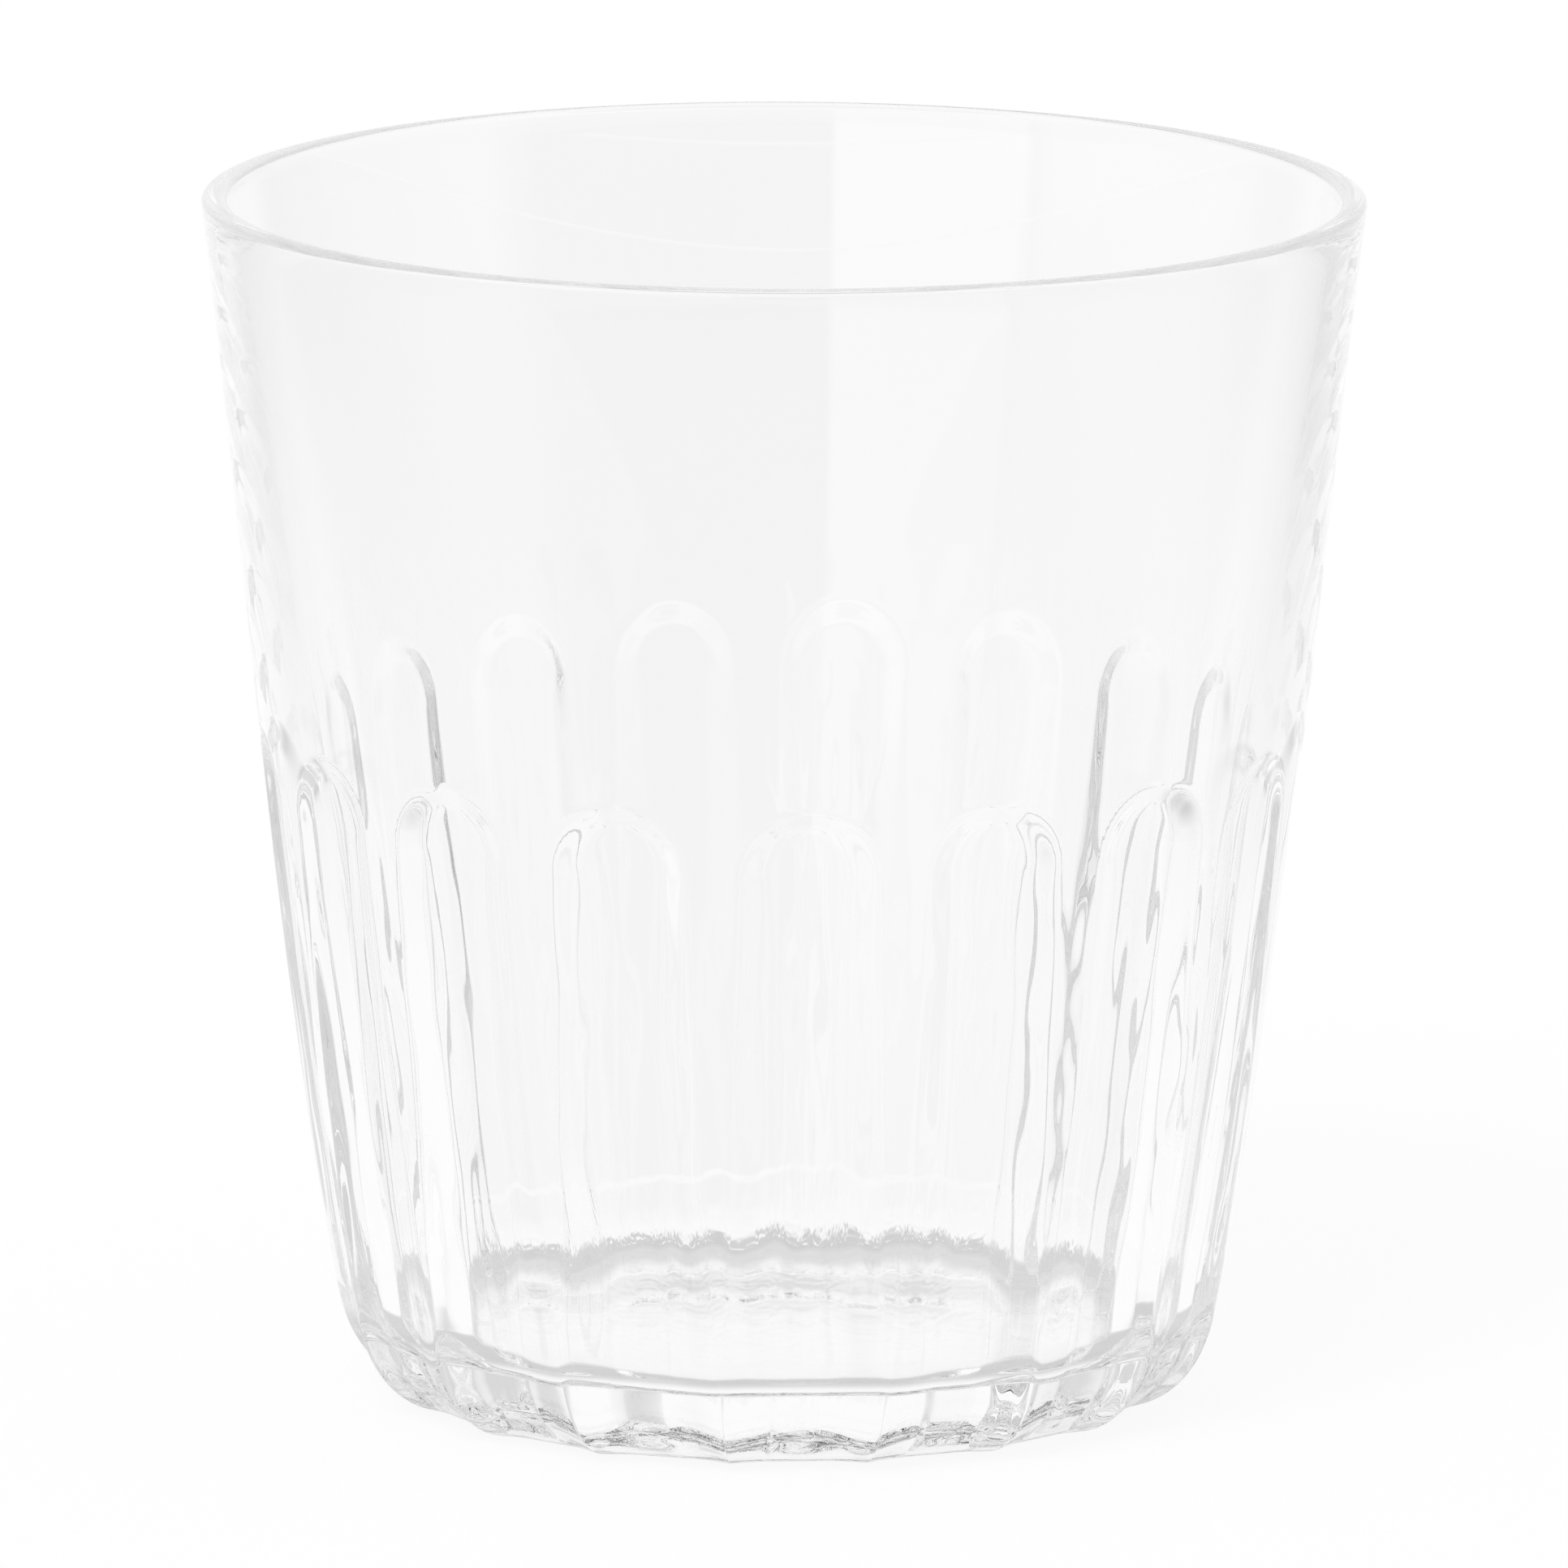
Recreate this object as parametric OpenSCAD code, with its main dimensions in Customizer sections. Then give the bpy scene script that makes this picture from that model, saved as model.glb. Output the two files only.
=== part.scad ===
// Juice glass: a clear pressed tumbler with arched flutes round its lower half.
// Millimetres, +Z up. The origin is the middle of the surface that the glass stands on.
// One flute faces -Y.

/* [Cup] */
// Height from the table to the top of the rim
height = 86; // [76:1:100]
// Outer diameter at the rim
rim_diameter = 82; // [76:1:92]
// Outer diameter where the wall meets the rounded heel
heel_diameter = 62.8; // [60:0.2:66]
// Height above the table at which the wall meets the heel
heel_height = 7; // [5:0.5:9]
// How far the heel rounds inwards from the wall to the flat base
heel_width = 6.4; // [5:0.1:8]
// How far the wall swells beyond a straight line between rim and heel
wall_swell = 0.7; // [0.4:0.1:1.1]

/* [Glass thickness] */
// Wall at the rim
rim_wall = 1.8; // [1.5:0.1:3]
// Height of the rounded lip on top of the rim wall
lip_rise = 0.5; // [0.3:0.1:1.1]
// Wall at the heel, measured at the ridges
heel_wall = 4; // [3.4:0.1:5]
// Glass between the table and the drink
floor_thickness = 5.8; // [5:0.1:9]
// Radius between the inner wall and the floor
floor_fillet = 3; // [2:0.5:8]

/* [Flutes] */
// Number of flutes round the cup
flute_count = 17; // [13:1:18]
// Height of the tops of the arches above the table
flute_top = 48.7; // [40:0.1:56]
// Width of a flute just under its arch
flute_width = 9.6; // [7.6:0.1:10]
// Depth of a flute just under its arch
flute_depth = 1; // [0.7:0.05:1.15]
// Depth of a flute at the heel, where it is widest
flute_heel_depth = 1.35; // [1:0.05:1.4]
// Gap between the flat base and the point at which a flute runs out on the heel
flute_run_out = 1; // [0.5:0.1:2]

/* [Base] */
// Width of the flat ring that the glass stands on, round a shallow hollow
ring_width = 4; // [2:0.5:9]
// Depth of the hollow at its middle
hollow_depth = 0.3; // [0.2:0.1:2]

/* [Hidden] */
$fn = 96;

// Chords in each curved stretch of the cup's outline
wall_chords = 8;
heel_chords = 10;
lip_chords = 12;
fillet_chords = 10;
hollow_chords = 6;

rim_r = rim_diameter / 2;
heel_r = heel_diameter / 2;
base_r = heel_r - heel_width;
lip_r = rim_wall / 2;
lip_z = height - lip_rise;
wall_drop = lip_z - heel_height;

// The swell follows u * u * (1 - u), which peaks at this value
swell_peak = 4 / 27;
// Lean of the outer wall from upright where it meets the heel
heel_lean = atan((rim_r - heel_r + wall_swell / swell_peak) / wall_drop);

// The heel is a piece of an ellipse that carries on from the wall and ends flat on the table
heel_share = heel_height * tan(heel_lean) / heel_width;
heel_turn = asin(heel_share / (1 - heel_share));
heel_rise = heel_height / (1 - sin(heel_turn));
heel_reach = heel_width / cos(heel_turn);

inner_rim_r = rim_r - rim_wall;
inner_heel_r = heel_r - heel_wall;
inner_lean = atan((inner_rim_r - inner_heel_r) / wall_drop);
fillet_z = floor_thickness + floor_fillet;
fillet_r = inner_heel_r + (fillet_z - heel_height) * tan(inner_lean) - floor_fillet / cos(inner_lean);

hollow_r = base_r - ring_width;
hollow_sphere_r = (hollow_r * hollow_r + hollow_depth * hollow_depth) / (2 * hollow_depth);
hollow_angle = asin(hollow_r / hollow_sphere_r);

// A flute is a round groove. The wall falls away at its edges by the sag, because the wall is round too
flute_half = flute_width / 2;
middle_r = (rim_r + heel_r) / 2;
wall_sag = middle_r - sqrt(middle_r * middle_r - flute_half * flute_half);
groove_rise = flute_depth - wall_sag;
groove_r = (flute_half * flute_half + groove_rise * groove_rise) / (2 * groove_rise);
arch_rise = sqrt(flute_depth * (2 * groove_r - flute_depth));
arch_z = flute_top - arch_rise;
arch_r = wall_radius((lip_z - arch_z) / wall_drop);

// The groove's middle line goes straight down from the arch to the heel, and sinks deeper on the way
wall_lean = atan((arch_r - heel_r) / (arch_z - heel_height));
outward = [cos(wall_lean), -sin(wall_lean)];
arch_point = [arch_r, arch_z] - flute_depth * outward;
bend_start = [heel_r, heel_height] - flute_heel_depth * outward;
flute_line = arch_point - bend_start;
flute_lean = atan(flute_line.x / flute_line.y);
flute_length = norm(flute_line);

// Then it follows an arc round the heel to the run-out point. The arc is flatter than one that would
// carry on smoothly from the straight line, so that the flute stays as deep on the heel
run_out = [base_r + flute_run_out, 0];
bend_chord = bend_start - run_out;
bend_flattening = 1.2;
bend_r = bend_flattening * bend_chord * bend_chord / (2 * (bend_chord * outward));
bend_across = [-bend_chord.y, bend_chord.x] / norm(bend_chord);
bend_middle = (bend_start + run_out) / 2 + bend_across * sqrt(bend_r * bend_r - bend_chord * bend_chord / 4);
bend_top = atan2(bend_start.y - bend_middle.y, bend_start.x - bend_middle.x);
// Length by which the straight groove runs on below the start of the bend
bar_overlap = 3;
// Angle by which the bend runs on up the straight groove
bend_overlap = 12;

// Outer radius of the wall at a share u of the way from the lip down to the heel
function wall_radius(u) = rim_r + (heel_r - rim_r) * u + wall_swell * u * u * (1 - u) / swell_peak;

// Point of the outer wall at the share u
function wall_point(u) = [wall_radius(u), lip_z - wall_drop * u];

// Points of an arc in equal steps from one angle to another. The reach is its radius across and upwards
function arc(middle, reach, from, to, chords) =
    [for (i = [0 : chords]) let (a = from + (to - from) * i / chords)
        middle + [reach.x * cos(a), reach.y * sin(a)]];

// The reach of a round arc is its radius times this
both_ways = [1, 1];

// Half of the cup cut through its axis: hollow, base ring, heel, wall, lip, inner wall and floor
module cup_section() {
    hollow_middle = [0, hollow_depth - hollow_sphere_r];
    hollow = arc(hollow_middle, hollow_sphere_r * both_ways, 90, 90 - hollow_angle, hollow_chords);
    heel = arc([base_r, heel_rise], [heel_reach, heel_rise], -90, -heel_turn, heel_chords);
    wall = [for (i = [1 : wall_chords - 1]) wall_point(1 - i / wall_chords)];
    lip = arc([rim_r - lip_r, lip_z], [lip_r, lip_rise], 0, 180, lip_chords);
    fillet = arc([fillet_r, fillet_z], floor_fillet * both_ways, -inner_lean, -90, fillet_chords);
    polygon(concat(hollow, heel, wall, lip, fillet, [[0, floor_thickness]]));
}

// Straight groove of the flute that faces +X, with a ball-shaped end at the arch
module wall_groove() {
    translate([bend_start.x, 0, bend_start.y]) rotate([0, flute_lean, 0]) translate([groove_r, 0, 0]) {
        translate([0, 0, -bar_overlap]) cylinder(r = groove_r, h = flute_length + bar_overlap);
        translate([0, 0, flute_length]) rotate_extrude() intersection() {
            circle(groove_r);
            square(groove_r);
        }
    }
}

// Groove of the same flute round the heel, a piece of a ring
module heel_groove() {
    sweep = bend_top + bend_overlap + 90;
    translate([bend_middle.x, 0, bend_middle.y]) rotate([90, 0, 0]) rotate(-90)
        rotate_extrude(angle = sweep) translate([bend_r + groove_r, 0]) circle(groove_r);
}

// Copies of the children round the cup, one for each flute
module each_flute() {
    for (i = [0 : flute_count - 1])
        rotate(360 * i / flute_count - 90) children();
}

module tumbler() {
    color([0.86, 0.93, 0.96, 0.4]) difference() {
        difference() {
            rotate_extrude() cup_section();
            each_flute() wall_groove();
        }
        each_flute() heel_groove();
    }
}

tumbler();
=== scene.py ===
"""Looks of a clear pressed juice glass with arched flutes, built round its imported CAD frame.

Lengths are metres in the CAD frame: +Z up, the table at z = 0 and one flute towards -Y.
"""

import logging
import math
from dataclasses import dataclass, field
from enum import Enum

import bpy
import numpy as np
from mathutils import Matrix, Vector


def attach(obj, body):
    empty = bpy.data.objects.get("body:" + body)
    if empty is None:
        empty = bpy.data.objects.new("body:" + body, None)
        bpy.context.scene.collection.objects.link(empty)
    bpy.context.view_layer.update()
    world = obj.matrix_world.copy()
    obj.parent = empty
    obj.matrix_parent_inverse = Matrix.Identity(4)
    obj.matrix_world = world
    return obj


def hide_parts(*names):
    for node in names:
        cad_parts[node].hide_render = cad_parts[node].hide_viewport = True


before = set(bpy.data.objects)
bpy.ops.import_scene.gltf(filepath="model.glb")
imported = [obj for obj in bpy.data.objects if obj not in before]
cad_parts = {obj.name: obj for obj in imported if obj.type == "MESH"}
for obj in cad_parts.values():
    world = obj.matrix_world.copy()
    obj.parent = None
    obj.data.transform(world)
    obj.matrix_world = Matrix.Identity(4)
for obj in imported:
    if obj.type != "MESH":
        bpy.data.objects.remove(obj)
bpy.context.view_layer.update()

LOG = logging.getLogger("juice_glass")
MM = 0.001
# A swell that follows u squared times (1 - u) peaks at 4/27, so this factor makes it peak at its own size
SWELL_FACTOR = 27.0 / 4.0
# Light in thick glass bounces often before it finds its way out
LIGHT_BOUNCES = 512


class Stretch(Enum):
    """Stretches of the cup's outline, in the order in which the rows of its grid follow it."""

    FLOOR = "floor of the cup"
    FILLET = "fillet between floor and wall"
    INNER_WALL = "inner wall"
    LIP = "rounded lip"
    PLAIN_WALL = "plain outer wall"
    ARCHES = "tops of the flutes"
    FLUTED_WALL = "fluted outer wall"
    HEEL = "rounded heel"
    BASE_RING = "ring that stands on the table"
    HOLLOW = "hollow under the base"


OUTSIDE = (Stretch.PLAIN_WALL, Stretch.ARCHES, Stretch.FLUTED_WALL, Stretch.HEEL, Stretch.BASE_RING)


def smooth_step(value: np.ndarray, low: float, high: float) -> np.ndarray:
    """Ease from 0 at low to 1 at high.

    The share t runs evenly from 0 to 1 between the two limits, and the result is 3 t squared minus 2 t cubed.

    Args:
        value: Numbers to ease.
        low: Value that gives 0.
        high: Value that gives 1.

    Returns:
        The eased numbers, in an array of the same shape.
    """
    t = np.clip((value - low) / (high - low), 0.0, 1.0)
    return t * t * (3.0 - 2.0 * t)


def arc(
    middle: tuple[float, float], reach: tuple[float, float], start: float, stop: float, count: int
) -> np.ndarray:
    """Points of an elliptical arc in the plane of radius and height.

    Each point is the middle plus the two reaches times (cosine, sine) of evenly stepped angles.

    Args:
        middle: Centre of the arc as (radius, height).
        reach: Half axes of the ellipse, across and upwards.
        start: First angle in radians.
        stop: Last angle in radians.
        count: Number of points, both ends included.

    Returns:
        Array of count rows of (radius, height).
    """
    angle = np.linspace(start, stop, count)
    return np.column_stack((middle[0] + reach[0] * np.cos(angle), middle[1] + reach[1] * np.sin(angle)))


def direction(turn: float, height: float) -> Vector:
    """Unit vector towards a place round the glass: (sin t cos h, -cos t cos h, sin h).

    Args:
        turn: Angle t from -Y towards +X, in radians.
        height: Angle h above the table, in radians.

    Returns:
        The vector.
    """
    flat = math.cos(height)
    return Vector((math.sin(turn) * flat, -math.cos(turn) * flat, math.sin(height)))


class ShaderTree:
    """Short way to place and join the nodes of one node tree."""

    def __init__(self, tree: bpy.types.NodeTree) -> None:
        """Empty the tree.

        Args:
            tree: Node tree of a material or of the world.
        """
        self.tree = tree
        tree.nodes.clear()

    def node(self, kind: str, **settings: object) -> bpy.types.Node:
        """Add one node.

        Args:
            kind: Blender's name of the node type.
            **settings: Properties to set on the node.

        Returns:
            The new node.
        """
        made = self.tree.nodes.new(kind)
        for name, value in settings.items():
            setattr(made, name, value)
        return made

    def feed(self, socket: bpy.types.NodeSocket, value: bpy.types.NodeSocket | float) -> None:
        """Join an output to an input, or set the input's own value.

        Args:
            socket: Input socket.
            value: Output socket, or a plain number.
        """
        if isinstance(value, bpy.types.NodeSocket):
            self.tree.links.new(value, socket)
        else:
            socket.default_value = value

    def math(
        self,
        operation: str,
        first: bpy.types.NodeSocket | float,
        second: bpy.types.NodeSocket | float = 0.0,
    ) -> bpy.types.NodeSocket:
        """Add a Math node.

        Args:
            operation: Blender's name of the operation.
            first: First number.
            second: Second number.

        Returns:
            The node's output.
        """
        made = self.node("ShaderNodeMath", operation=operation)
        self.feed(made.inputs[0], first)
        self.feed(made.inputs[1], second)
        return made.outputs[0]

    def between(
        self,
        value: bpy.types.NodeSocket,
        low: float,
        high: float,
        to_low: float = 0.0,
        to_high: float = 1.0,
    ) -> bpy.types.NodeSocket:
        """Ease a value from one number to another between two limits.

        Args:
            value: Number to read.
            low: Value at which the result is to_low.
            high: Value at which the result is to_high.
            to_low: Result at the lower limit.
            to_high: Result at the upper limit.

        Returns:
            The eased number.
        """
        made = self.node("ShaderNodeMapRange", interpolation_type="SMOOTHSTEP")
        self.feed(made.inputs["Value"], value)
        made.inputs["From Min"].default_value = low
        made.inputs["From Max"].default_value = high
        made.inputs["To Min"].default_value = to_low
        made.inputs["To Max"].default_value = to_high
        return made.outputs["Result"]

    def parts(self, place: bpy.types.NodeSocket) -> bpy.types.bpy_prop_collection:
        """Split a place or a direction into its three coordinates.

        Args:
            place: Vector output.

        Returns:
            The outputs X, Y and Z.
        """
        made = self.node("ShaderNodeSeparateXYZ")
        self.feed(made.inputs["Vector"], place)
        return made.outputs

    def span(self, across: bpy.types.NodeSocket, away: bpy.types.NodeSocket) -> bpy.types.NodeSocket:
        """Distance from the upright axis: the root of the sum of two squares.

        Args:
            across: Coordinate along X.
            away: Coordinate along Y.

        Returns:
            The distance.
        """
        squares = self.math("ADD", self.math("MULTIPLY", across, across), self.math("MULTIPLY", away, away))
        return self.math("SQRT", squares)

    def turn(self, across: bpy.types.NodeSocket, away: bpy.types.NodeSocket) -> bpy.types.NodeSocket:
        """Angle round the upright axis, from -Y towards +X.

        Args:
            across: Coordinate along X.
            away: Coordinate along Y.

        Returns:
            The angle in radians.
        """
        return self.math("ARCTAN2", across, self.math("MULTIPLY", away, -1.0))


@dataclass(frozen=True)
class ClearGlass:
    """Finish of clear pressed glass: polished, with the faint ripple, wrinkles and haze that a mould leaves.

    The ripple covers the fluted wall, and fades on the plain wall above it and on the foot below. The
    wrinkles lie in a band round the far edge of the cup's floor. A value that ends in edge is the length
    over which that limit is eased.
    """

    tint: tuple[float, float, float] = (0.993, 0.993, 0.9945)
    deep_tint: tuple[float, float, float] = (0.985, 0.985, 0.988)
    ior: float = 1.5
    haze: float = 0.012
    haze_from: float = 0.45
    haze_to: float = 0.75
    cloud_scale: float = 38.0
    cloud_detail: float = 2.0
    streak_detail: float = 1.0
    ripple_scale: float = 320.0
    ripple_stretch: float = 6.0
    ripple_height: float = 0.2 * MM
    plain_from: float = 36.0 * MM
    plain_to: float = 47.0 * MM
    plain_ripple: float = 0.004 * MM
    foot_from: float = 4.0 * MM
    foot_to: float = 12.0 * MM
    wrinkle_scale: float = 1300.0
    wrinkle_stretch: float = 6.0
    wrinkle_height: float = 0.3 * MM
    wrinkle_low: float = 6.2 * MM
    wrinkle_low_edge: float = 0.4 * MM
    wrinkle_high: float = 10.5 * MM
    wrinkle_high_edge: float = 0.6 * MM
    wrinkle_span: float = 29.0 * MM
    wrinkle_span_edge: float = 0.2 * MM
    wrinkle_away: float = 6.0 * MM
    wrinkle_away_edge: float = 6.0 * MM

    def streaks(
        self, shader: ShaderTree, place: bpy.types.NodeSocket, scale: float, stretch: float
    ) -> bpy.types.NodeSocket:
        """Noise drawn out upwards.

        Args:
            shader: Tree to build in.
            place: Object coordinates.
            scale: Waves for each metre across.
            stretch: How many times longer the noise is upwards than across.

        Returns:
            Height of the noise, from 0 to 1.
        """
        drawn = shader.node("ShaderNodeVectorMath", operation="MULTIPLY")
        shader.feed(drawn.inputs[0], place)
        drawn.inputs[1].default_value = (1.0, 1.0, 1.0 / stretch)
        made = shader.node("ShaderNodeTexNoise")
        shader.feed(made.inputs["Vector"], drawn.outputs["Vector"])
        made.inputs["Scale"].default_value = scale
        made.inputs["Detail"].default_value = self.streak_detail
        return made.outputs["Fac"]

    def ripple(self, shader: ShaderTree, place: bpy.types.NodeSocket) -> bpy.types.NodeSocket:
        """Ripple of the wall: streaks, full on the flutes and faint on the plain wall and the foot.

        Args:
            shader: Tree to build in.
            place: Object coordinates.

        Returns:
            Height of the ripple in metres.
        """
        _, _, up = shader.parts(place)
        height = shader.math(
            "MINIMUM",
            shader.between(up, self.plain_from, self.plain_to, self.ripple_height, self.plain_ripple),
            shader.between(up, self.foot_from, self.foot_to, self.plain_ripple, self.ripple_height),
        )
        streaks = self.streaks(shader, place, self.ripple_scale, self.ripple_stretch)
        return shader.math("MULTIPLY", streaks, height)

    def wrinkles(self, shader: ShaderTree, place: bpy.types.NodeSocket) -> bpy.types.NodeSocket:
        """Wrinkles round the edge of the floor: fine streaks in a low band inside the cup, on its far side.

        Args:
            shader: Tree to build in.
            place: Object coordinates.

        Returns:
            Height of the wrinkles in metres.
        """
        across, away, up = shader.parts(place)
        span, far = self.wrinkle_span, self.wrinkle_away
        low, high = self.wrinkle_low, self.wrinkle_high
        inside = shader.math(
            "MULTIPLY",
            shader.between(
                shader.span(across, away), span, span + self.wrinkle_span_edge, self.wrinkle_height, 0.0
            ),
            shader.between(away, far, far + self.wrinkle_away_edge),
        )
        band = shader.math(
            "MULTIPLY",
            shader.between(up, low - self.wrinkle_low_edge, low),
            shader.between(up, high - self.wrinkle_high_edge, high, 1.0, 0.0),
        )
        streaks = self.streaks(shader, place, self.wrinkle_scale, self.wrinkle_stretch)
        return shader.math("MULTIPLY", streaks, shader.math("MULTIPLY", inside, band))

    def material(self) -> bpy.types.Material:
        """Make the glass.

        Returns:
            A material whose tint, haze, ripple and wrinkles follow noise on Object coordinates.
        """
        made = bpy.data.materials.new("clear_pressed_glass")
        made.use_nodes = True
        shader = ShaderTree(made.node_tree)
        place = shader.node("ShaderNodeTexCoord").outputs["Object"]

        clouds = shader.node("ShaderNodeTexNoise")
        shader.feed(clouds.inputs["Vector"], place)
        clouds.inputs["Scale"].default_value = self.cloud_scale
        clouds.inputs["Detail"].default_value = self.cloud_detail

        tint = shader.node("ShaderNodeMix", data_type="RGBA")
        shader.feed(tint.inputs["Factor"], clouds.outputs["Fac"])
        tint.inputs["A"].default_value = (*self.tint, 1.0)
        tint.inputs["B"].default_value = (*self.deep_tint, 1.0)
        haze = shader.between(clouds.outputs["Fac"], self.haze_from, self.haze_to, 0.0, self.haze)

        # The height is in metres already, so the bump takes it as it is
        bump = shader.node("ShaderNodeBump")
        bump.inputs["Distance"].default_value = 1.0
        height = shader.math("ADD", self.ripple(shader, place), self.wrinkles(shader, place))
        shader.feed(bump.inputs["Height"], height)

        glass = shader.node("ShaderNodeBsdfPrincipled")
        glass.inputs["IOR"].default_value = self.ior
        glass.inputs["Transmission Weight"].default_value = 1.0
        shader.feed(glass.inputs["Base Color"], tint.outputs["Result"])
        shader.feed(glass.inputs["Roughness"], haze)
        shader.feed(glass.inputs["Normal"], bump.outputs["Normal"])
        output = shader.node("ShaderNodeOutputMaterial")
        shader.feed(output.inputs["Surface"], glass.outputs["BSDF"])
        return made


@dataclass(frozen=True)
class Flutes:
    """The arched flutes pressed into the lower wall, which grow wider on their way down to the heel."""

    count: int = 17
    top: float = 48.9 * MM
    arch_half: float = 4.95 * MM
    arch_rise: float = 5.2 * MM
    heel_half: float = 5.65 * MM
    heel_way: float = 38.0 * MM
    side: float = 2.0 * MM
    heel_side: float = 4.0 * MM
    side_depth: float = 0.50 * MM
    scoop: float = 0.45 * MM
    run_out_start: float = 23.5 * MM
    run_out_stop: float = 28.5 * MM

    def depth_field(
        self, along: np.ndarray, top_along: float, radius: np.ndarray, angle: np.ndarray
    ) -> np.ndarray:
        """Depth of the flutes at each point of the outer wall.

        Below the springing line of its arch, a point's reach is its arc from the flute's middle. Above that
        line the reach also counts the height over the line, so that the edge closes in a round arch. The half
        width grows evenly from arch to heel. The rounded side eases from 0 at the edge, where the reach is
        the half width, to its full depth over its own width, which grows with the square root of the way
        down. The scoop adds a parabola across the flute. Both fade out on the heel.

        Args:
            along: Distance of each row from the lip, down the outline.
            top_along: That distance at the tops of the arches.
            radius: Distance of each row from the cup's axis.
            angle: Angle of each column round the axis.

        Returns:
            Array of depths, rows by columns.
        """
        pitch = 2.0 * math.pi / self.count
        from_middle = (angle + pitch / 2.0) % pitch - pitch / 2.0
        over = np.maximum(0.0, top_along + self.arch_rise - along) * (self.arch_half / self.arch_rise)
        reach = np.hypot(np.outer(radius, from_middle), over[:, None])
        share = np.clip((along - top_along - self.arch_rise) / self.heel_way, 0.0, 1.0)
        half = (self.arch_half + (self.heel_half - self.arch_half) * share)[:, None]
        width = (self.side + (self.heel_side - self.side) * np.sqrt(share))[:, None]
        side = self.side_depth * smooth_step((half - reach) / width, 0.0, 1.0)
        scoop = self.scoop * np.maximum(0.0, 1.0 - (reach / half) ** 2)
        fade = smooth_step(radius, self.run_out_start, self.run_out_stop)
        return (side + scoop) * fade[:, None]


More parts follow.
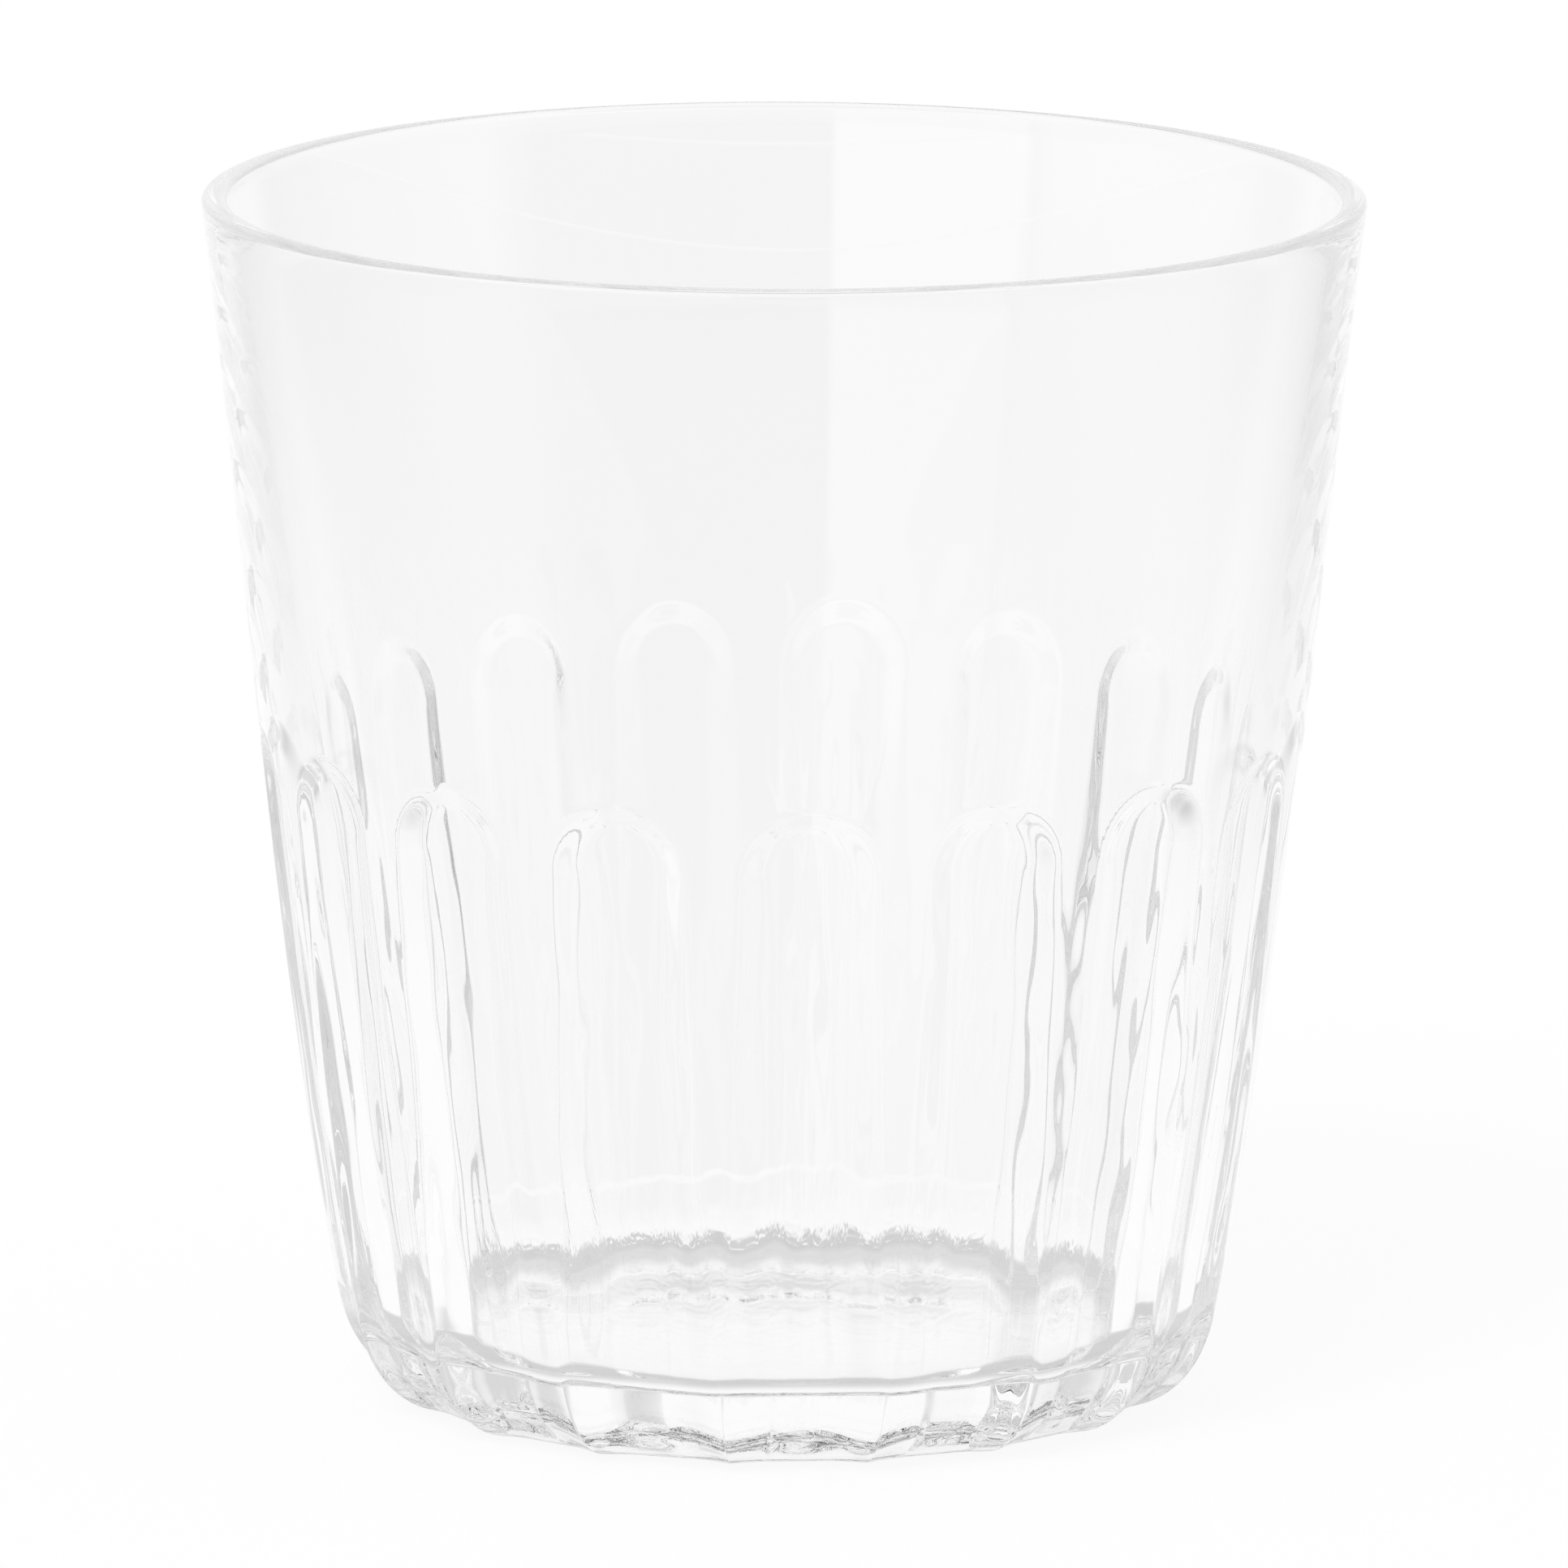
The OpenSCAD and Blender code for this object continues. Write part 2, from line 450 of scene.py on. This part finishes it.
@dataclass
class Tumbler:
    """The whole glass: one closed surface from the middle of the floor over the lip to the hollow underneath.

    Rows stand close together round the arches, from arch_above over their tops to arch_below rises under them.
    """

    height: float = 86.0 * MM
    rim_radius: float = 41.0 * MM
    heel_radius: float = 31.4 * MM
    heel_height: float = 7.0 * MM
    base_radius: float = 25.0 * MM
    wall_swell: float = 0.7 * MM
    rim_wall: float = 1.8 * MM
    lip_rise: float = 0.5 * MM
    heel_wall: float = 4.0 * MM
    floor_thickness: float = 5.8 * MM
    floor_fillet: float = 3.0 * MM
    hollow_radius: float = 21.0 * MM
    hollow_depth: float = 0.3 * MM
    columns_per_flute: int = 40
    ridge_crowding: float = 0.4
    arch_above: float = 0.6 * MM
    arch_below: float = 1.4
    flutes: Flutes = field(default_factory=Flutes)
    finish: ClearGlass = field(default_factory=ClearGlass)
    rows: dict[Stretch, int] = field(
        default_factory=lambda: {
            Stretch.FLOOR: 4,
            Stretch.FILLET: 11,
            Stretch.INNER_WALL: 10,
            Stretch.LIP: 18,
            Stretch.PLAIN_WALL: 24,
            Stretch.ARCHES: 30,
            Stretch.FLUTED_WALL: 20,
            Stretch.HEEL: 20,
            Stretch.BASE_RING: 3,
            Stretch.HOLLOW: 4,
        }
    )

    def wall(self, share: np.ndarray) -> np.ndarray:
        """Points of the outer wall at shares u of the way from the lip (0) down to the heel (1).

        The radius goes evenly from rim to heel, plus a swell that follows u squared times (1 - u), scaled to
        peak at the swell's size. The height falls evenly.

        Args:
            share: Shares u.

        Returns:
            Rows of (radius, height).
        """
        lip_z = self.height - self.lip_rise
        swell = self.wall_swell * SWELL_FACTOR * share**2 * (1.0 - share)
        radius = self.rim_radius + (self.heel_radius - self.rim_radius) * share + swell
        return np.column_stack((radius, lip_z + (self.heel_height - lip_z) * share))

    def outline(self) -> tuple[np.ndarray, np.ndarray]:
        """Half of the cup cut through its axis, from the middle of the floor to the middle of the hollow.

        Straight lines are evenly stepped, the fillet, lip, heel and hollow are arcs, and the outer wall is
        wall().

        Returns:
            Rows of (radius, height), and for each row whether it is on the outside from lip to base ring.
        """
        lip_r = self.rim_wall / 2.0
        lip_z = self.height - self.lip_rise
        drop = lip_z - self.heel_height
        lean = math.atan((self.rim_radius - self.heel_radius + self.wall_swell * SWELL_FACTOR) / drop)
        heel_width = self.heel_radius - self.base_radius
        heel_share = self.heel_height * math.tan(lean) / heel_width
        heel_turn = math.asin(heel_share / (1.0 - heel_share))
        heel_reach = (heel_width / math.cos(heel_turn), self.heel_height / (1.0 - math.sin(heel_turn)))

        inner_top = self.rim_radius - self.rim_wall
        inner_heel = self.heel_radius - self.heel_wall
        inner_lean = math.atan((inner_top - inner_heel) / drop)
        fillet_z = self.floor_thickness + self.floor_fillet
        fillet_r = (
            inner_heel
            + (fillet_z - self.heel_height) * math.tan(inner_lean)
            - self.floor_fillet / math.cos(inner_lean)
        )
        ball = (self.hollow_radius**2 + self.hollow_depth**2) / (2.0 * self.hollow_depth)
        cap = math.asin(self.hollow_radius / ball)

        arch_low = self.arch_below * self.flutes.arch_rise
        u_arch = (lip_z - self.flutes.top - self.arch_above) / drop
        u_flute = (lip_z - self.flutes.top + arch_low) / drop
        n = self.rows
        down = -math.pi / 2.0
        round_fillet = (self.floor_fillet, self.floor_fillet)
        fillet = arc((fillet_r, fillet_z), round_fillet, down, -inner_lean, n[Stretch.FILLET])
        floor_end = (fillet_r, self.floor_thickness)
        pieces = {
            Stretch.FLOOR: np.linspace((0.0, self.floor_thickness), floor_end, n[Stretch.FLOOR] + 1),
            Stretch.FILLET: fillet,
            Stretch.INNER_WALL: np.linspace(fillet[-1], (inner_top, lip_z), n[Stretch.INNER_WALL]),
            Stretch.LIP: arc(
                (self.rim_radius - lip_r, lip_z), (lip_r, self.lip_rise), math.pi, 0.0, n[Stretch.LIP]
            ),
            Stretch.PLAIN_WALL: self.wall(np.linspace(0.0, u_arch, n[Stretch.PLAIN_WALL])),
            Stretch.ARCHES: self.wall(np.linspace(u_arch, u_flute, n[Stretch.ARCHES])),
            Stretch.FLUTED_WALL: self.wall(np.linspace(u_flute, 1.0, n[Stretch.FLUTED_WALL])),
            Stretch.HEEL: arc(
                (self.base_radius, heel_reach[1]), heel_reach, -heel_turn, down, n[Stretch.HEEL]
            ),
            Stretch.BASE_RING: np.linspace(
                (self.base_radius, 0.0), (self.hollow_radius, 0.0), n[Stretch.BASE_RING]
            ),
            Stretch.HOLLOW: arc(
                (0.0, self.hollow_depth - ball),
                (ball, ball),
                math.pi / 2.0 - cap,
                math.pi / 2.0,
                n[Stretch.HOLLOW] + 1,
            ),
        }
        # Each stretch ends where the next one starts, so its last row is left out, except at the very end
        rows = [pieces[s][:-1] if s is not Stretch.HOLLOW else pieces[s] for s in Stretch]
        outside = [np.full(len(part), s in OUTSIDE) for s, part in zip(Stretch, rows)]
        return np.vstack(rows), np.concatenate(outside)

    def surface(self) -> tuple[np.ndarray, np.ndarray]:
        """Turn the outline round the axis and press the flutes into it.

        A point is (r sin a, -r cos a, z), where (r, z) is a row of the outline, moved inwards along the
        outline's normal by the flutes' depth there, and a is the column's angle.

        Returns:
            Radius and height of each point, rows by columns.
        """
        rows, outside = self.outline()
        step = np.gradient(rows, axis=0)
        length = np.hypot(step[:, 0], step[:, 1])
        inwards = np.column_stack((step[:, 1], -step[:, 0])) / length[:, None]
        first = int(np.argmax(outside))
        along = np.concatenate(([0.0], np.cumsum(np.hypot(*np.diff(rows, axis=0).T))))
        along = along - along[first]
        top_along = float(np.interp(-self.flutes.top, -rows[first:, 1], along[first:]))
        depth = self.flutes.depth_field(along, top_along, rows[:, 0], self.angles())
        depth = np.where(outside[:, None], depth, 0.0)
        radius = rows[:, :1] + inwards[:, :1] * depth
        height = np.maximum(rows[:, 1:] + inwards[:, 1:] * depth, np.minimum(rows[:, 1:], 0.0))
        return radius, height

    def angles(self) -> np.ndarray:
        """Angle of each column of the grid, from -Y towards +X.

        Evenly stepped angles get a sine wave added, one wave for each flute, so that columns stand wide apart
        in the middle of a flute and crowd towards the ridges.

        Returns:
            The angles in radians.
        """
        count = self.flutes.count
        columns = count * self.columns_per_flute
        even = np.arange(columns) * (2.0 * math.pi / columns)
        return even + self.ridge_crowding / count * np.sin(count * even)

    def mesh(self) -> bpy.types.Mesh:
        """Make the closed mesh: quads between rows and a fan of triangles at each pole.

        Returns:
            The mesh, smooth, with its faces outwards.
        """
        radius, height = self.surface()
        angle = self.angles()
        columns = len(angle)
        inner = slice(1, -1)
        points = np.stack(
            (radius[inner] * np.sin(angle), -radius[inner] * np.cos(angle), height[inner]), axis=-1
        ).reshape(-1, 3)
        poles = np.array([[0.0, 0.0, height[0].mean()], [0.0, 0.0, height[-1].mean()]])
        vertices = np.vstack((points, poles))

        here = np.arange(len(points)).reshape(-1, columns)
        beside = np.roll(here, -1, axis=1)
        quads = np.stack((here[:-1], here[1:], beside[1:], beside[:-1]), axis=-1).reshape(-1, 4)
        floor_pole, hollow_pole = len(points), len(points) + 1
        floor_fan = np.column_stack((np.full(columns, floor_pole), here[0], beside[0]))
        hollow_fan = np.column_stack((np.full(columns, hollow_pole), beside[-1], here[-1]))

        made = bpy.data.meshes.new("tumbler_glass")
        made.from_pydata(vertices.tolist(), [], quads.tolist() + floor_fan.tolist() + hollow_fan.tolist())
        made.validate()
        made.shade_smooth()
        return made

    def build(self) -> bpy.types.Object:
        """Make the glass, dress it and set it in the frame.

        Returns:
            The finished object, which stands for the CAD node.
        """
        made = bpy.data.objects.new("tumbler_glass", self.mesh())
        made.data.materials.append(self.finish.material())
        bpy.context.scene.collection.objects.link(made)
        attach(made, "root")
        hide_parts("tumbler")
        LOG.info("%s: %d points, %d faces", made.name, len(made.data.vertices), len(made.data.polygons))
        return made


@dataclass(frozen=True)
class Panel:
    """An upright light panel in the dark part of the room, given by its place as seen from the glass."""

    left: float
    right: float
    top: float
    brightness: float


@dataclass
class Studio:
    """Plain white floor and soft studio light: a white room with a dark front and dim sides, and two panels.

    Lengths are metres. The heights dark_to and overhead_from, and a panel's top, are the upward share of a
    direction, from 0 level to 1 straight up. A value that ends in edge is the range over which that limit
    is eased.
    """

    floor_reach: float = 4.0
    floor_front: float = 0.6
    floor_drop: float = 0.05 * MM
    floor_colour: tuple[float, float, float] = (0.97, 0.97, 0.97)
    floor_glow: float = 0.92
    floor_glow_in_glass: float = 0.97
    table_near: float = 0.06
    table_far: float = 0.4
    table_dimming: float = 0.38
    table_half_angle: float = math.radians(145.0)
    shadow_shade: float = 0.027
    shadow_half: float = 0.04
    shadow_from: float = 0.05
    shadow_to: float = 0.45
    shadow_edge: float = 0.025
    shadow_far_edge: float = 0.25
    contact_shade: float = 0.36
    contact_from: float = 27.0 * MM
    contact_to: float = 42.0 * MM
    contact_edge: float = 5.0 * MM
    room_light: float = 0.68
    lamp_light: float = 0.36
    lamp_turn: float = math.radians(-30.0)
    lamp_height: float = math.radians(48.0)
    lamp_spread: float = math.radians(30.0)
    dark: float = 0.25
    dark_half_angle: float = math.radians(60.0)
    dark_to: float = 0.5
    dark_top_edge: float = 0.2
    side: float = 0.70
    side_half_angle: float = math.radians(158.0)
    turn_edge: float = 0.2
    overhead: float = 0.02
    overhead_from: float = 0.90
    overhead_edge: float = 0.03
    panel_edge: float = 0.05
    panels: tuple[Panel, ...] = (
        Panel(left=-0.95, right=-0.25, top=0.5, brightness=0.95),
        Panel(left=0.93, right=1.30, top=0.5, brightness=0.4),
    )

    def floor(self) -> bpy.types.Object:
        """Lay the floor: a table just under the glass, with a near front edge.

        Beyond that edge, glass mirrors the dark front of the room.

        Returns:
            The floor.
        """
        reach, front, z = self.floor_reach, -self.floor_front, -self.floor_drop
        corners = np.array([(-reach, front, z), (reach, front, z), (reach, reach, z), (-reach, reach, z)])
        shape = bpy.data.meshes.new("studio_floor")
        shape.from_pydata(corners.tolist(), [], [(0, 1, 2, 3)])
        shape.materials.append(self.floor_paint())
        made = bpy.data.objects.new("studio_floor", shape)
        bpy.context.scene.collection.objects.link(made)
        LOG.info("%s: %.1f m wide", made.name, 2.0 * reach)
        return made

    def floor_paint(self) -> bpy.types.Material:
        """Make the floor's white: a glow for the camera and for glass, with a share of the lamp's light.

        The lamp's share shows its shadow. Glass shows the glow shaded, as floor_shade() says.

        Returns:
            The material.
        """
        made = bpy.data.materials.new("white_floor")
        made.use_nodes = True
        shader = ShaderTree(made.node_tree)
        camera, by_glass = self.rays(shader)
        lit = shader.node("ShaderNodeBsdfDiffuse")
        lit.inputs["Color"].default_value = (*self.floor_colour, 1.0)
        glow = shader.node("ShaderNodeEmission")
        shade = shader.math("MULTIPLY", by_glass, self.floor_shade(shader))
        shader.feed(glow.inputs["Strength"], shader.math("SUBTRACT", 1.0, shade))
        share = shader.math(
            "MAXIMUM",
            shader.math("MULTIPLY", camera, self.floor_glow),
            shader.math("MULTIPLY", by_glass, self.floor_glow_in_glass),
        )
        mix = shader.node("ShaderNodeMixShader")
        shader.feed(mix.inputs["Fac"], share)
        shader.feed(mix.inputs[1], lit.outputs["BSDF"])
        shader.feed(mix.inputs[2], glow.outputs["Emission"])
        output = shader.node("ShaderNodeOutputMaterial")
        shader.feed(output.inputs["Surface"], mix.outputs["Shader"])
        return made

    def floor_shade(self, shader: ShaderTree) -> bpy.types.NodeSocket:
        """How much darker than white glass shows the floor.

        Three shades are added up: one grows with the distance in front and at the sides, one is a ring round
        the base, and a faint one lies straight behind the glass.

        Args:
            shader: Tree to build in.

        Returns:
            The shade, 0 where the floor is white.
        """
        across, away, _ = shader.parts(shader.node("ShaderNodeTexCoord").outputs["Object"])
        span = shader.span(across, away)
        turn = shader.math("ABSOLUTE", shader.turn(across, away))
        half, edge = self.table_half_angle, self.turn_edge
        dim = shader.math(
            "MULTIPLY",
            shader.between(span, self.table_near, self.table_far, 0.0, self.table_dimming),
            shader.between(turn, half - edge, half + edge, 1.0, 0.0),
        )
        start, stop, edge = self.contact_from, self.contact_to, self.contact_edge
        contact = shader.math(
            "MULTIPLY",
            shader.between(span, start - edge, start, 0.0, self.contact_shade),
            shader.between(span, stop - edge, stop, 1.0, 0.0),
        )
        half, edge = self.shadow_half, self.shadow_edge
        start, stop = self.shadow_from, self.shadow_to
        behind = shader.math(
            "MULTIPLY",
            shader.between(away, start, start + edge),
            shader.between(away, stop, stop + self.shadow_far_edge, 1.0, 0.0),
        )
        beside = shader.math("ABSOLUTE", across)
        shadow = shader.math(
            "MULTIPLY", shader.between(beside, half, half + edge, self.shadow_shade, 0.0), behind
        )
        return shader.math("ADD", shader.math("ADD", dim, contact), shadow)

    def rays(self, shader: ShaderTree) -> tuple[bpy.types.NodeSocket, bpy.types.NodeSocket]:
        """Masks of the rays that show a surface.

        Args:
            shader: Tree to build in.

        Returns:
            1 for rays straight from the camera, and 1 for rays that come off or through glass.
        """
        path = shader.node("ShaderNodeLightPath")
        by_glass = shader.math("MAXIMUM", path.outputs["Is Glossy Ray"], path.outputs["Is Transmission Ray"])
        return path.outputs["Is Camera Ray"], by_glass

    def room(self, shader: ShaderTree) -> bpy.types.NodeSocket:
        """Brightness of the room as glass shows it.

        The room is white behind the glass and high up. Its front is dark within a half angle from -Y, and so
        is a spot right overhead. Its sides are dim. The panels stand in the dark part.

        Args:
            shader: Tree to build in.

        Returns:
            Brightness in the direction that is looked up.
        """
        across, away, up = shader.parts(shader.node("ShaderNodeTexCoord").outputs["Generated"])
        turn = shader.turn(across, away)
        round_about = shader.math("ABSOLUTE", turn)
        half, side_half, edge = self.dark_half_angle, self.side_half_angle, self.turn_edge
        shade = shader.math(
            "MAXIMUM",
            shader.between(round_about, half - edge, half + edge, 1.0 - self.dark, 0.0),
            shader.between(round_about, side_half - edge, side_half + edge, 1.0 - self.side, 0.0),
        )
        low = shader.between(up, self.dark_to, self.dark_to + self.dark_top_edge, 1.0, 0.0)
        shade = shader.math("MULTIPLY", shade, low)
        start = self.overhead_from
        spot = shader.between(up, start, start + self.overhead_edge, 0.0, 1.0 - self.overhead)
        light = shader.math("SUBTRACT", 1.0, shader.math("MAXIMUM", shade, spot))
        edge = self.panel_edge
        for panel in self.panels:
            strip = shader.math(
                "MULTIPLY",
                shader.between(turn, panel.left - edge, panel.left),
                shader.between(turn, panel.right, panel.right + edge, 1.0, 0.0),
            )
            low = shader.between(up, panel.top, panel.top + edge, 1.0, 0.0)
            strip = shader.math("MULTIPLY", strip, low)
            light = shader.math("MAXIMUM", light, shader.math("MULTIPLY", strip, panel.brightness))
        return light

    def world(self) -> bpy.types.World:
        """Light the room: white to the camera, even to surfaces, and as room() says to glass.

        Returns:
            The world, set on the scene.
        """
        made = bpy.data.worlds.new("studio_room")
        made.use_nodes = True
        bpy.context.scene.world = made
        shader = ShaderTree(made.node_tree)
        camera, by_glass = self.rays(shader)
        plain = shader.math("MAXIMUM", camera, self.room_light)
        mix = shader.node("ShaderNodeMix", data_type="FLOAT")
        shader.feed(mix.inputs["Factor"], by_glass)
        shader.feed(mix.inputs["A"], plain)
        shader.feed(mix.inputs["B"], self.room(shader))
        background = shader.node("ShaderNodeBackground")
        background.inputs["Color"].default_value = (1.0, 1.0, 1.0, 1.0)
        shader.feed(background.inputs["Strength"], mix.outputs["Result"])
        output = shader.node("ShaderNodeOutputWorld")
        shader.feed(output.inputs["Surface"], background.outputs["Background"])
        return made

    def lamp(self) -> bpy.types.Object:
        """Shine a soft, even lamp from the front left, for the shadow on the floor.

        Returns:
            The lamp, as strong as gives a white floor its share of light.
        """
        data = bpy.data.lights.new("soft_lamp", "SUN")
        data.angle = self.lamp_spread
        data.energy = self.lamp_light * math.pi / math.sin(self.lamp_height)
        made = bpy.data.objects.new("soft_lamp", data)
        towards = direction(self.lamp_turn, self.lamp_height)
        made.rotation_euler = (-towards).to_track_quat("-Z", "Y").to_euler()
        made.visible_glossy = False
        made.visible_transmission = False
        bpy.context.scene.collection.objects.link(made)
        return made

    def build(self) -> None:
        """Set up floor, room and lamp."""
        self.floor()
        self.world()
        self.lamp()


@dataclass
class PhotoCamera:
    """Camera at the photograph's viewing angle."""

    picture_width: int = 1932
    pixels_per_metre: float = 17440.0
    distance: float = 1.75
    elevation: float = math.radians(10.8)
    azimuth: float = math.radians(-2.9)
    roll: float = math.radians(0.2)
    aim: tuple[float, float, float] = (0.12 * MM, 0.0, 43.7 * MM)
    sensor: float = 36.0
    clip_near: float = 0.05
    clip_far: float = 50.0

    def build(self) -> bpy.types.Object:
        """Place the camera.

        Returns:
            The camera, set on the scene.
        """
        data = bpy.data.cameras.new("photo_camera")
        data.sensor_width = self.sensor
        data.lens = self.pixels_per_metre * self.distance / self.picture_width * self.sensor
        data.clip_start, data.clip_end = self.clip_near, self.clip_far
        made = bpy.data.objects.new("photo_camera", data)
        back = direction(self.azimuth, self.elevation)
        turn = (-back).to_track_quat("-Z", "Y").to_matrix().to_4x4()
        place = Matrix.Translation(Vector(self.aim) + back * self.distance)
        made.matrix_world = place @ turn @ Matrix.Rotation(self.roll, 4, "Z")
        bpy.context.scene.collection.objects.link(made)
        bpy.context.scene.camera = made
        return made


def light_paths(bounces: int) -> None:
    """Let light bounce often enough to find its way out of thick glass.

    Args:
        bounces: Longest path, in bounces.
    """
    cycles = bpy.context.scene.cycles
    cycles.max_bounces = bounces
    cycles.glossy_bounces = bounces
    cycles.transmission_bounces = bounces


def main() -> None:
    """Build the glass, the studio and the camera, and note the sizes."""
    logging.basicConfig(level=logging.INFO, format="%(name)s: %(message)s")
    Tumbler().build()
    Studio().build()
    PhotoCamera().build()
    light_paths(LIGHT_BOUNCES)
    bpy.context.scene.view_settings.view_transform = "Standard"


if __name__ == "__main__":
    main()
